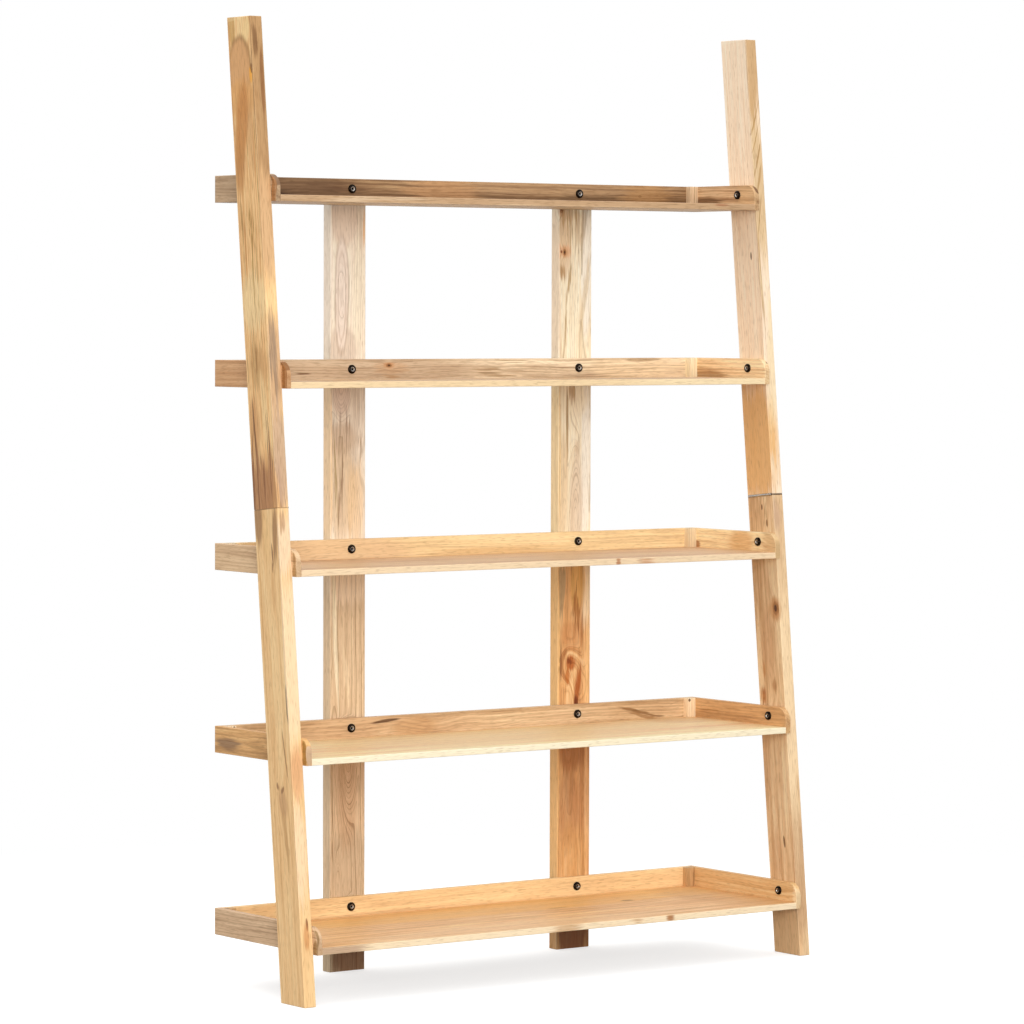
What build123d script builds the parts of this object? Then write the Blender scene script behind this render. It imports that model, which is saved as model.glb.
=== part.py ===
from build123d import *
import os
from math import atan, cos, degrees, sin, tan

# A free-standing wooden ladder shelf, in millimetres. X is its width, Y runs from the front to the
# back and Z is up. The origin is on the floor, in the middle of the outline.

# Trays, counted from 1 at the top
TRAY_COUNT = 5
TRAY_PITCH = 342.0  # from one tray's underside to the next
LOWEST_TRAY_HEIGHT = 94.0  # from the floor to the lowest tray's underside
TRAY_HEIGHT = 50.0
TRAY_WIDTH = 1140.0
TOP_TRAY_DEPTH = 205.0
TRAY_DEPTH_STEP = 35.0  # each tray is this much deeper than the one above it
WALL_THICKNESS = 12.0  # left and right walls
BACK_THICKNESS = 12.0
PANEL_THICKNESS = 12.0
WALL_CORNER_RADIUS = 27.0  # the walls' upper front corner
CORNER_BLOCK_WIDTH = 20.0
CORNER_BLOCK_DEPTH = 13.0

# Leaning legs, outside the trays, and upright posts behind them
LEG_THICKNESS = 25.0
LEG_DEPTH = 78.0  # measured square to the leg
LEG_TOP_RISE = 288.0  # from the top tray's rim to the top of the legs
LEG_FOOT_SETBACK = 2.0  # from the deepest tray's front edge back to the legs' toe
LEG_JOINT_RISE = 72.0  # from the middle tray's rim to the joint between a leg's two sections
POST_WIDTH = 80.0
POST_THICKNESS = 25.0
POST_CENTRES = 540.0
POST_TOP_DROP = 4.0  # from the top tray's rim down to the top of the posts
POST_JOINT_DROP = 10.0  # from the middle tray's underside down to the joint in a post
EDGE_EASE = 1.2  # rounding of the wood's exposed edges

# Connector bolts with domed hexagon-socket heads, and the threaded inserts that take them
BOLT_DIAMETER = 6.0
BOLT_HEAD_DIAMETER = 17.0
BOLT_HEAD_HEIGHT = 4.0
BOLT_RIM = 1.2  # straight edge below the dome
BOLT_TIP_CHAMFER = 0.8
SOCKET_WIDTH = 5.0  # across the flats
SOCKET_DEPTH = 2.5
SOCKET_MOUTH_DIAMETER = 7.4
SOCKET_BEVEL = 1.5  # width and depth of the bevel round the socket's mouth
BOLT_HOLE_PLAY = 0.25  # around a bolt in its board
INSERT_DIAMETER = 10.0
INSERT_LENGTH = 13.0
INSERT_FLANGE_DIAMETER = 12.5
INSERT_FLANGE = 1.0
INSERT_HOLE_ROOM = 2.0  # free depth past the insert

# Butt hinges let into the joints of the legs and posts, and their countersunk screws
HINGE_LENGTH = 70.0
LEG_HINGE_INSET = 4.0  # from a leg's front face to its hinge
LEAF_WIDTH = 16.0
LEAF_THICKNESS = 1.5
BARREL_RADIUS = 2.4
BARREL_AXIS = 0.3  # from the wood's face out to the middle of the pin
BARREL_PLAY = 0.2  # between the barrel and its groove in the wood
KNUCKLE_COUNT = 5
KNUCKLE_GAP = 0.3
PIN_DIAMETER = 2.5
PIN_HEAD_DIAMETER = 4.0
PIN_HEAD = 1.0
SCREW_DIAMETER = 3.5
SCREW_HEAD_DIAMETER = 6.5
SCREW_LENGTH = 16.0
SCREW_TIP = 4.0
SCREW_TIP_DIAMETER = 0.8
SCREW_SINK = 0.2  # from a leaf's face down to the screws' heads
SCREW_HOLE_ROOM = 2.0  # free depth past a screw
SCREW_SPACING = 20.0
SCREWS_PER_LEAF = 3
FIT = 0.1  # clearance around metal pieces in their holes

# Worked out from the sizes above
SIDES = {"left": -1, "right": 1}
MIDDLE_TRAY = (TRAY_COUNT + 1) // 2
LEAN = atan(TRAY_DEPTH_STEP / TRAY_PITCH)
LEG_UP = Vector(0, sin(LEAN), cos(LEAN))
LEG_BACK = Vector(0, cos(LEAN), -sin(LEAN))
DEEPEST_TRAY = TOP_TRAY_DEPTH + (TRAY_COUNT - 1) * TRAY_DEPTH_STEP
SHELF_DEPTH = DEEPEST_TRAY + POST_THICKNESS
BACK_PLANE = SHELF_DEPTH / 2 - POST_THICKNESS  # the trays' backs meet the posts here
TOE = BACK_PLANE - DEEPEST_TRAY + LEG_FOOT_SETBACK
LEG_SPAN = LEG_DEPTH / cos(LEAN)  # a leg's depth along the floor
TOP_RIM = LOWEST_TRAY_HEIGHT + (TRAY_COUNT - 1) * TRAY_PITCH + TRAY_HEIGHT
SHELF_HEIGHT = TOP_RIM + LEG_TOP_RISE
KNUCKLE_PITCH = HINGE_LENGTH / KNUCKLE_COUNT
BARREL = Pos(0, BARREL_AXIS, 0) * Rot(0, 90, 0)  # along a hinge, from its own middle


def tray_base(number):
    """Height of a tray's underside."""
    return LOWEST_TRAY_HEIGHT + (TRAY_COUNT - number) * TRAY_PITCH


def tray_front(number):
    """Where a tray's front edge lies along Y."""
    return BACK_PLANE - TOP_TRAY_DEPTH - (number - 1) * TRAY_DEPTH_STEP


def leg_front(height):
    """Where the legs' front faces lie along Y at a height."""
    return TOE + height * tan(LEAN)


def slab(low, high):
    """A box between two opposite corners."""
    sizes = [end - start for start, end in zip(low, high)]
    return Pos(*low) * Box(*sizes, align=(Align.MIN, Align.MIN, Align.MIN))


def rod(diameter, length):
    """A cylinder that hangs down from the origin."""
    return Cylinder(diameter / 2, length, align=(Align.CENTER, Align.CENTER, Align.MAX))


def turned(*outline):
    """A solid turned about Z, from the radius and height of each corner of its half section."""
    return revolve(Plane.XZ * make_face(Polyline(*outline, close=True)), Axis.Z)


def bolt_planes(number):
    """Where a tray's bolts cross from its boards into the frame; each plane faces into the tray."""
    height = tray_base(number) + (PANEL_THICKNESS + TRAY_HEIGHT) / 2
    leg_middle = leg_front(height) + LEG_SPAN / 2
    planes = {}
    for name, side in SIDES.items():
        at_leg = (side * TRAY_WIDTH / 2, leg_middle, height)
        at_post = (side * POST_CENTRES / 2, BACK_PLANE, height)
        planes[name + "_leg"] = Plane(at_leg, x_dir=(0, 1, 0), z_dir=(-side, 0, 0))
        planes[name + "_post"] = Plane(at_post, x_dir=(1, 0, 0), z_dir=(0, -1, 0))
    return planes


def bolt_hole(plane, thickness):
    """The clearance hole for a bolt through a board."""
    return plane * Pos(0, 0, thickness) * rod(BOLT_DIAMETER + 2 * BOLT_HOLE_PLAY, thickness)


def insert_hole(plane):
    """The stepped blind hole that takes a threaded insert."""
    hole = rod(INSERT_DIAMETER + 2 * FIT, INSERT_LENGTH + INSERT_HOLE_ROOM)
    return plane * (hole + rod(INSERT_FLANGE_DIAMETER + 2 * FIT, INSERT_FLANGE))


def tray_wall(number, side):
    """A side wall: full depth, with its upper front corner rounded."""
    base = tray_base(number)
    outer = side * TRAY_WIDTH / 2
    inner = outer - side * WALL_THICKNESS
    wall = slab((min(inner, outer), tray_front(number), base),
                (max(inner, outer), BACK_PLANE, base + TRAY_HEIGHT))
    corner = wall.edges().filter_by(Axis.X).group_by(Axis.Y)[0].sort_by(Axis.Z)[-1]
    wall = fillet(corner, WALL_CORNER_RADIUS)
    return fillet(wall.faces().filter_by(Axis.X).edges(), EDGE_EASE)


def tray_panel(number):
    """The floor of a tray, between its walls and in front of its back."""
    base = tray_base(number)
    reach = TRAY_WIDTH / 2 - WALL_THICKNESS
    panel = slab((-reach, tray_front(number), base),
                 (reach, BACK_PLANE - BACK_THICKNESS, base + PANEL_THICKNESS))
    return fillet(panel.edges().filter_by(Axis.X).group_by(Axis.Y)[0], EDGE_EASE)


def tray_back(number):
    """The upright board at the back of a tray, between its walls."""
    base = tray_base(number)
    reach = TRAY_WIDTH / 2 - WALL_THICKNESS
    back = slab((-reach, BACK_PLANE - BACK_THICKNESS, base), (reach, BACK_PLANE, base + TRAY_HEIGHT))
    return fillet(back.edges().filter_by(Axis.X), EDGE_EASE)


def corner_block(number, side):
    """A small upright block glued into a tray's rear corner."""
    base = tray_base(number)
    outer = side * (TRAY_WIDTH / 2 - WALL_THICKNESS)
    inner = outer - side * CORNER_BLOCK_WIDTH
    back = BACK_PLANE - BACK_THICKNESS
    block = slab((min(inner, outer), back - CORNER_BLOCK_DEPTH, base + PANEL_THICKNESS),
                 (max(inner, outer), back, base + TRAY_HEIGHT))
    return fillet(block.faces().sort_by(Axis.Z)[-1].edges(), EDGE_EASE)


def hinge_mortise(direction):
    """The recess in the end of a section for a leaf, its screws and the barrel; 1 is the upper section."""
    low, high = sorted((0, direction * LEAF_THICKNESS))
    reach = HINGE_LENGTH / 2 + FIT
    cut = slab((-reach, -LEAF_WIDTH - FIT, low), (reach, EDGE_EASE, high))
    cut += BARREL * Cylinder(BARREL_RADIUS + BARREL_PLAY, 2 * (reach + PIN_HEAD))
    depth = SCREW_LENGTH + SCREW_HOLE_ROOM
    hole = Pos(0, 0, depth) * rod(SCREW_DIAMETER + 2 * FIT, depth)
    for spot in screw_spots(direction):
        cut += spot * hole
    return cut


def screw_spots(direction):
    """Where a leaf's screws enter it from the joint, pointing into the wood along their own +Z."""
    turn = Rot(0, 0, 0) if direction > 0 else Rot(180, 0, 0)
    first = -(SCREWS_PER_LEAF - 1) * SCREW_SPACING / 2
    return [Pos(first + index * SCREW_SPACING, -LEAF_WIDTH / 2, 0) * turn
            for index in range(SCREWS_PER_LEAF)]


def hinge_leaf(direction):
    """A leaf with its share of the knuckles: the odd ones on the upper leaf, the even on the lower."""
    low, high = sorted((0, direction * LEAF_THICKNESS))
    half = (HINGE_LENGTH - KNUCKLE_GAP) / 2
    leaf = slab((-half, -LEAF_WIDTH, low), (half, BARREL_AXIS, high))
    for index in range(KNUCKLE_COUNT):
        spot = Pos((index + 0.5) * KNUCKLE_PITCH - HINGE_LENGTH / 2, 0, 0) * BARREL
        if (index % 2 == 0) == (direction > 0):
            leaf += spot * Cylinder(BARREL_RADIUS, KNUCKLE_PITCH - KNUCKLE_GAP)
        else:
            leaf -= spot * Cylinder(BARREL_RADIUS + KNUCKLE_GAP, KNUCKLE_PITCH + KNUCKLE_GAP)
    leaf -= BARREL * Cylinder(PIN_DIAMETER / 2 + FIT, HINGE_LENGTH)
    mouth, throat = SCREW_HEAD_DIAMETER / 2 + FIT, SCREW_DIAMETER / 2 + FIT
    countersink = turned((0, 0), (mouth, 0), (mouth, SCREW_SINK),
                         (throat, LEAF_THICKNESS), (0, LEAF_THICKNESS))
    for spot in screw_spots(direction):
        leaf -= spot * countersink
    return leaf


def hinge_pin():
    """The pin through all knuckles, with a flat head on each end."""
    grip = (HINGE_LENGTH - KNUCKLE_GAP) / 2
    end = grip + PIN_HEAD
    shank, head = PIN_DIAMETER / 2, PIN_HEAD_DIAMETER / 2
    pin = turned((0, -end), (head, -end), (head, -grip), (shank, -grip),
                 (shank, grip), (head, grip), (head, end), (0, end))
    return BARREL * pin


def hinge_screw():
    """A countersunk screw that points up from the joint, its head just below the leaf's face."""
    head, shank, tip = SCREW_HEAD_DIAMETER / 2, SCREW_DIAMETER / 2, SCREW_TIP_DIAMETER / 2
    return turned((0, SCREW_SINK), (head, SCREW_SINK), (shank, LEAF_THICKNESS),
                  (shank, SCREW_LENGTH - SCREW_TIP), (tip, SCREW_LENGTH), (0, SCREW_LENGTH))


def bolt():
    """A connector bolt whose head sits on the origin and whose shank hangs below it."""
    head = Cylinder(BOLT_HEAD_DIAMETER / 2, BOLT_HEAD_HEIGHT, align=(Align.CENTER, Align.CENTER, Align.MIN))
    head = fillet(head.edges().group_by(Axis.Z)[-1], BOLT_HEAD_HEIGHT - BOLT_RIM)
    socket = extrude(RegularPolygon(SOCKET_WIDTH / 2, 6, major_radius=False), SOCKET_DEPTH)
    mouth = SOCKET_MOUTH_DIAMETER / 2
    bevel = turned((0, -SOCKET_BEVEL), (mouth - SOCKET_BEVEL, -SOCKET_BEVEL), (mouth, 0), (0, 0))
    shank = rod(BOLT_DIAMETER, WALL_THICKNESS + INSERT_LENGTH)
    shank = chamfer(shank.edges().group_by(Axis.Z)[0], BOLT_TIP_CHAMFER)
    head -= Pos(0, 0, BOLT_HEAD_HEIGHT - SOCKET_DEPTH) * socket
    return head - Pos(0, 0, BOLT_HEAD_HEIGHT) * bevel + shank


def threaded_insert():
    """A flanged insert let into the wood, its mouth on the origin."""
    bore, body, flange = BOLT_DIAMETER / 2 + FIT, INSERT_DIAMETER / 2, INSERT_FLANGE_DIAMETER / 2
    return turned((bore, 0), (flange, 0), (flange, -INSERT_FLANGE), (body, -INSERT_FLANGE),
                  (body, -INSERT_LENGTH), (bore, -INSERT_LENGTH))


def leg_sections(side):
    """The lower and upper sections of a leg, and the plane of the hinge between them."""
    inner = side * TRAY_WIDTH / 2
    joint_height = tray_base(MIDDLE_TRAY) + TRAY_HEIGHT + LEG_JOINT_RISE
    joint = Vector(inner, leg_front(joint_height) + LEG_SPAN / 2, joint_height)
    front, back = joint - LEG_BACK * (LEG_DEPTH / 2), joint + LEG_BACK * (LEG_DEPTH / 2)
    middle = [(front.Y, front.Z), (back.Y, back.Z)]
    foot = [(leg_front(0) + LEG_SPAN, 0), (leg_front(0), 0)]
    top = [(leg_front(SHELF_HEIGHT) + LEG_SPAN, SHELF_HEIGHT), (leg_front(SHELF_HEIGHT), SHELF_HEIGHT)]
    hinge_middle = front + LEG_BACK * (LEG_HINGE_INSET + HINGE_LENGTH / 2)
    hinge = Plane(hinge_middle, x_dir=LEG_BACK * side, z_dir=LEG_UP)
    sections = []
    for direction, end in ((-1, foot), (1, top)):
        outline = make_face(Polyline(*middle, *end, close=True))
        section = Pos(inner, 0, 0) * extrude(Plane.YZ * outline, side * LEG_THICKNESS)
        section = fillet(section.edges(), EDGE_EASE)
        sections.append(section - hinge * hinge_mortise(direction))
    return sections, hinge


def post_sections(side):
    """The lower and upper sections of a post, and the plane of the hinge between them."""
    middle = side * POST_CENTRES / 2
    joint_height = tray_base(MIDDLE_TRAY) - POST_JOINT_DROP
    hinge = Plane((middle, BACK_PLANE, joint_height), x_dir=(-1, 0, 0), z_dir=(0, 0, 1))
    sections = []
    for direction, low, high in ((-1, 0, joint_height), (1, joint_height, TOP_RIM - POST_TOP_DROP)):
        section = slab((middle - POST_WIDTH / 2, BACK_PLANE, low),
                       (middle + POST_WIDTH / 2, BACK_PLANE + POST_THICKNESS, high))
        section = fillet(section.edges(), EDGE_EASE)
        sections.append(section - hinge * hinge_mortise(direction))
    return sections, hinge


def save(node, *solids):
    """Write one node; a node of several pieces keeps them as separate solids."""
    shape = solids[0] if len(solids) == 1 else Compound(children=list(solids))
    export_step(shape, os.path.join("parts", node + ".step"))


os.makedirs("parts", exist_ok=True)

# Frame: a leaning leg at each side and an upright post behind each half, in two sections each
trays = range(1, TRAY_COUNT + 1)
for frame_part, sections_of in (("leg", leg_sections), ("post", post_sections)):
    for side_name, side in SIDES.items():
        piece = side_name + "_" + frame_part
        sections, hinge = sections_of(side)
        for section_name, direction, section in zip(("lower", "upper"), (-1, 1), sections):
            for number in trays:
                section -= insert_hole(bolt_planes(number)[piece])
            save(f"{piece}_{section_name}", section)
            save(f"{piece}_hinge_{section_name}_leaf", hinge * hinge_leaf(direction))
        save(f"{piece}_hinge_pin", hinge * hinge_pin())
        spots = screw_spots(-1) + screw_spots(1)
        save(f"{piece}_hinge_screws", *[hinge * spot * hinge_screw() for spot in spots])

# Trays, each bolted to both legs and both posts
for number in trays:
    planes = bolt_planes(number)
    tray = f"tray_{number}"
    back = tray_back(number)
    for side_name, side in SIDES.items():
        wall = tray_wall(number, side) - bolt_hole(planes[side_name + "_leg"], WALL_THICKNESS)
        save(f"{tray}_{side_name}_wall", wall)
        back -= bolt_hole(planes[side_name + "_post"], BACK_THICKNESS)
    save(f"{tray}_back", back)
    save(f"{tray}_panel", tray_panel(number))
    save(f"{tray}_corner_blocks", *[corner_block(number, side) for side in SIDES.values()])
    seats = {name: BACK_THICKNESS if name.endswith("post") else WALL_THICKNESS for name in planes}
    save(f"{tray}_bolts", *[plane * Pos(0, 0, seats[name]) * bolt() for name, plane in planes.items()])
    save(f"{tray}_inserts", *[plane * threaded_insert() for plane in planes.values()])

print(f"lean {degrees(LEAN):.2f} degrees, {TRAY_WIDTH + 2 * LEG_THICKNESS:.0f} wide,"
      f" {SHELF_DEPTH:.0f} deep, {SHELF_HEIGHT:.0f} high")
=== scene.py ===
import math
import bpy
from mathutils import Matrix, Vector


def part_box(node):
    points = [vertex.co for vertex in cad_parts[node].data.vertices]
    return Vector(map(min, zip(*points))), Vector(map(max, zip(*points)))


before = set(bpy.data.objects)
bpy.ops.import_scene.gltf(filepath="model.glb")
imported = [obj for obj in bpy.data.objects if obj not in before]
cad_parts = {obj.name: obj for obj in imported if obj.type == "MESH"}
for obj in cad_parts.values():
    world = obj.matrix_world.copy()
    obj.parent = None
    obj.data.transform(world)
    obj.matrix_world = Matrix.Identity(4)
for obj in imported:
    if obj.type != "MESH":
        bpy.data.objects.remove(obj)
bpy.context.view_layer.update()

# Legs: two leaning legs of solid mango, each of two boards butted at mid height, so that the colour
# changes at the joint. They are planed, eased along their edges with sandpaper and oiled.


def linear(code):
    """An sRGB hex colour as linear RGBA."""
    parts = [int(code[i:i + 2], 16) / 255 for i in (1, 3, 5)]
    return [c / 12.92 if c <= 0.04045 else ((c + 0.055) / 1.055) ** 2.4 for c in parts] + [1.0]


def feed(tree, item, inputs):
    """Set or link a shader node's inputs, by place or by name. A node stands for its first output in use."""
    sockets = [socket for socket in item.inputs if socket.enabled]
    for key, value in inputs.items() if isinstance(inputs, dict) else enumerate(inputs):
        socket = sockets[key] if isinstance(key, int) else next(s for s in sockets if s.name == key)
        if isinstance(value, bpy.types.Node):
            value = next(s for s in value.outputs if s.enabled)
        if isinstance(value, bpy.types.NodeSocket):
            tree.links.new(value, socket)
        else:
            socket.default_value = value


def add(tree, kind, inputs=(), **settings):
    """Add one shader node with its settings and inputs."""
    item = tree.nodes.new("ShaderNode" + kind)
    for key, value in settings.items():
        setattr(item, key, value)
    feed(tree, item, inputs)
    return item


def new_material(name):
    """A material and its node tree."""
    material = bpy.data.materials.new(name)
    material.use_nodes = True
    return material, material.node_tree


def dress(node, material):
    """Give a CAD piece its material."""
    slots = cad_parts[node].data.materials
    slots.clear()
    slots.append(material)


mm = 1000  # to a metre: sizes and places on a board are in millimetres


def growth_rings(tree, fibre, grain, pith, ring, loops, veins, seed):
    """Growth rings about a pith, which close round every loop. Gives a tone that changes from ring to ring,
    and the share of dark latewood at the end of each ring, which is veins at most."""
    radius = add(tree, "VectorMath", [fibre, (1, 1, 0), (-pith[0], -pith[1], 0)], operation="MULTIPLY_ADD")
    radius = add(tree, "VectorMath", [radius], operation="LENGTH")
    for centre, size, rise, stub in loops:
        away = add(tree, "Mapping", {"Vector": grain, "Location": centre, "Scale": size},
                   vector_type="TEXTURE")
        short = add(tree, "VectorMath", [away, (1, 1, stub)], operation="MULTIPLY")
        away = add(tree, "VectorMath", [away, short], operation="MAXIMUM")
        away = add(tree, "VectorMath", [away], operation="LENGTH")
        swell = add(tree, "MapRange", [away, 0.0, 1.0, rise, 0.0], interpolation_type="SMOOTHSTEP")
        radius = add(tree, "Math", [swell, radius], operation="ADD")
    # The rings differ in tone and in width, and latewood darkens the last half of each
    count = add(tree, "Math", [radius, 1 / ring, seed * 11], operation="MULTIPLY_ADD")
    tone = add(tree, "TexNoise", {"W": count, "Scale": 0.7, "Detail": 3.0, "Roughness": 0.55},
               noise_dimensions="1D")
    uneven_count = add(tree, "Math", [tone, 1.6, count], operation="MULTIPLY_ADD")
    season = add(tree, "Math", [uneven_count], operation="FRACT")
    late = add(tree, "MapRange", [season, 0.5, 0.97, 0.0, 1.0], interpolation_type="SMOOTHSTEP")
    depth = add(tree, "MapRange", [tone, 0.38, 0.58, veins * 0.3, veins])
    return tone, add(tree, "Math", [late, depth], operation="MULTIPLY")


def stains_and_painted_light(tree, colour, grain, rough, marks):
    """Lay marks on a colour, each over the one before, with edges that the grain frays. Some marks are
    stains, some painted light and shade.
    """
    for code, strength, centre, size, tilt, ragged in marks:
        tilt = [math.radians(angle) for angle in (tilt if isinstance(tilt, tuple) else (0, tilt))]
        away = add(tree, "Mapping", {"Vector": grain, "Location": centre, "Rotation": (*tilt, 0),
                                     "Scale": size}, vector_type="TEXTURE")
        away = add(tree, "VectorMath", [away], operation="LENGTH")
        away = add(tree, "Math", [rough, ragged, away], operation="MULTIPLY_ADD")
        # The rough grain is about 1 on average, so a mark keeps near its size up to a raggedness of about 1.
        # From about 4 it breaks up into dashes
        edge = 1.08 + 0.85 * ragged
        soft = 0.08 + 0.2 * min(ragged, 1)
        cover = add(tree, "MapRange", [away, edge - soft, edge + soft, strength, 0.0],
                    interpolation_type="SMOOTHSTEP")
        colour = add(tree, "Mix", {"Factor": cover, "A": colour, "B": linear(code)}, data_type="RGBA")
    return colour


def rubbed_edges(tree, place, low, high, rough):
    """Where handling has rubbed a board's edges: most on the edge, and not at all some 2 mm away from it."""
    ragged, full, gone = 2.5, 2.0, 4.2  # the rubbing fades from full to gone, both with the raggedness added
    strength = 0.3
    from_low = add(tree, "VectorMath", [place, low], operation="SUBTRACT")
    from_high = add(tree, "VectorMath", [high, place], operation="SUBTRACT")
    inset = add(tree, "SeparateXYZ", [add(tree, "VectorMath", [from_low, from_high], operation="MINIMUM")])
    nearer = add(tree, "Math", [inset.outputs["X"], inset.outputs["Y"]], operation="MINIMUM")
    farther = add(tree, "Math", [inset.outputs["X"], inset.outputs["Y"]], operation="MAXIMUM")
    farther = add(tree, "Math", [farther, inset.outputs["Z"]], operation="MINIMUM")
    edge = add(tree, "Math", [nearer, farther], operation="MAXIMUM")
    edge = add(tree, "Math", [rough, ragged, edge], operation="MULTIPLY_ADD")
    return add(tree, "MapRange", [edge, full, gone, strength, 0.0], interpolation_type="SMOOTHSTEP")


def mango(node, along, across, tones, origin=None, low=None, high=None, pith=(10, 70), ring=6.0,
          figure=(0.5, 0.7, 0.6), veins=0.3, flecks=0.2, stave=0, seed=0.0, loops=(), knots=(), marks=(),
          mirrored=False):
    """Planed, oiled mango for one board: growth rings about a pith, streaked fibres, open pores and pale
    rubbed edges, under a satin oil. Places on the board are X across it, Y through it and Z along its grain.
    Tones are its pale, middle and deep colours, and figure says how far rings, bands and fibres move between
    them. Pith is the log's middle, ring the width of a growth ring, and stave that of a glued-up board's
    staves. Veins and flecks are the strength of the latewood and of the short dashes. A loop is (centre, half
    sizes, rise, stub): the rings close round it, and its upper half is stub times shorter, which leaves an
    arch. A knot is (centre, radius). A mark, such as heartwood or a mineral streak, is (colour, strength,
    centre, half sizes, degrees of tilt about Y or about X and Y, raggedness)."""
    material, tree = new_material("oiled_mango_" + node)
    turn = Matrix((across, Vector(along).cross(Vector(across)), along))
    if origin is None:
        corners = [Vector(corner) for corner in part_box(node)]
        origin = (corners[0] + corners[1]) / 2
        high = Vector([abs(size) * mm for size in turn @ (corners[1] - origin)])
        low = -high
    seat = add(tree, "TexCoord").outputs["Object"]
    if mirrored:
        seat = add(tree, "VectorMath", [seat], operation="ABSOLUTE")
    place = add(tree, "Mapping", {"Vector": seat, "Location": -(turn @ Vector(origin)) * mm,
                                  "Rotation": turn.to_euler(), "Scale": (mm, mm, mm)})
    shift = Vector((seed * 3.1, seed * 5.7, seed * 8.3))  # each board has its own place in the patterns

    # The grain sways by a few millimetres over some decimetres of its length
    sway, sway_width, sway_length = 5, 60, 380
    drawn = add(tree, "VectorMath", [place, (1 / sway_width, 1 / sway_width, 1 / sway_length), shift],
                operation="MULTIPLY_ADD")
    drift = add(tree, "TexNoise", {"Vector": drawn, "Scale": 1.0, "Detail": 2.0}, normalize=False)
    grain = add(tree, "VectorMath", [drift.outputs["Color"], (sway, sway, 0), place],
                operation="MULTIPLY_ADD")

    # A wide board is glued up from staves, each with its own run of grain and its own tone
    fibre = grain
    tone = 0.5 - sum(figure) / 2
    if stave:
        slip, contrast = (60, 40, 900), 0.16  # how far staves lie apart in the log, and in tone
        across_board = add(tree, "SeparateXYZ", [place]).outputs["X"]
        lath = add(tree, "Math", [across_board, 1 / stave, seed], operation="MULTIPLY_ADD")
        lath = add(tree, "Math", [lath], operation="FLOOR")
        chance = add(tree, "TexWhiteNoise", {"W": lath}, noise_dimensions="1D")
        fibre = add(tree, "VectorMath", [chance.outputs["Color"], slip, grain], operation="MULTIPLY_ADD")
        tone = add(tree, "MapRange", [chance.outputs["Value"], 0.0, 1.0, tone - contrast, tone + contrast])

    # A knot is longest along the grain. It bends the rings, and has a tan halo, a brown body and a dark core
    for centre, radius in knots:
        reach = Vector((radius, radius, 1.6 * radius))
        loops += ((centre, reach * 4, 2 * radius, 1),)
        marks += (("#c88c56", 0.5, centre, reach * 1.8, 0, 1.4), ("#9a6638", 0.8, centre, reach, 0, 0.8),
                  ("#4f2e18", 0.9, centre, reach * 0.5, 0, 0.6))
    rings, late = growth_rings(tree, fibre, grain, pith, ring, loops, veins, seed)

    # The narrow edges show fainter rings than the wide faces, and the ends fainter ones too
    turned = (0.3, 0.9)  # cosines where a face begins to count as an edge or an end, and where it wholly does
    normal = add(tree, "TexCoord").outputs["Normal"]
    edgewise = add(tree, "VectorMath", [normal, across], operation="DOT_PRODUCT")
    edgewise = add(tree, "Math", [edgewise], operation="ABSOLUTE")
    endwise = add(tree, "VectorMath", [normal, along], operation="DOT_PRODUCT")
    endwise = add(tree, "Math", [endwise], operation="ABSOLUTE")
    for direction, kept in ((edgewise, 0.3), (endwise, 0.4)):
        share = add(tree, "MapRange", [direction, *turned, 1.0, kept])
        late = add(tree, "Math", [late, share], operation="MULTIPLY")
    sides_only = add(tree, "MapRange", [endwise, *turned, 1.0, 0.0])

    # Broad bands, fibre streaks, flecks and pores, all drawn out along the grain. Real pores are 0.2 mm wide:
    # they are drawn coarser here, so that they show
    noises = {}
    for name, width, length, detail in (("bands", 22, 280, 3.0), ("fibres", 3.2, 170, 2.0),
                                        ("flecks", 2.4, 40, 1.0), ("pores", 1.4, 17, 0.0)):
        drawn = add(tree, "VectorMath", [fibre, (1 / width, 1 / width, 1 / length), shift * 1.7],
                    operation="MULTIPLY_ADD")
        noises[name] = add(tree, "TexNoise", {"Vector": drawn, "Scale": 1.0, "Detail": detail,
                                              "Roughness": 0.6})
    rough = add(tree, "Math", [noises["bands"], noises["fibres"]], operation="ADD")

    # The figure moves the colour between the three tones. A narrow edge cuts few rings, so it is more even
    even_tone, evenness = 0.42, 0.6
    for source, weight in zip((rings, noises["bands"], noises["fibres"]), figure):
        tone = add(tree, "Math", [source, weight, tone], operation="MULTIPLY_ADD")
    share = add(tree, "MapRange", [edgewise, *turned, 0.0, evenness])
    tone = add(tree, "Mix", {"Factor": share, "A": tone, "B": even_tone})
    colour = add(tree, "ValToRGB", [tone])
    colour.color_ramp.elements.new(0.5)
    for stop, position, code in zip(colour.color_ramp.elements, (0.28, 0.5, 0.74), tones):
        stop.position = position
        stop.color = linear(code)
    colour = stains_and_painted_light(tree, colour, grain, rough, marks)

    # Dark latewood, flecks and pores as short dashes on the sides only, and darker end grain
    dark = add(tree, "Mix", {"Factor": 1.0, "A": colour, "B": linear("#b0a08c")}, data_type="RGBA",
               blend_type="MULTIPLY")
    colour = add(tree, "Mix", {"Factor": late, "A": colour, "B": dark}, data_type="RGBA")
    pore_strength, end_strength = 0.34, 0.3
    pores = add(tree, "MapRange", [noises["pores"], 0.58, 0.74, 0.0, pore_strength])
    dashes = add(tree, "MapRange", [noises["flecks"], 0.56, 0.72, 0.0, flecks])
    dashes = add(tree, "Math", [pores, dashes], operation="MAXIMUM")
    dashes = add(tree, "Math", [dashes, sides_only], operation="MULTIPLY")
    colour = add(tree, "Mix", {"Factor": dashes, "A": colour, "B": dark}, data_type="RGBA")
    ends = add(tree, "MapRange", [endwise, 0.8, 0.98, 0.0, end_strength])
    colour = add(tree, "Mix", {"Factor": ends, "A": colour, "B": dark}, data_type="RGBA")

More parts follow.
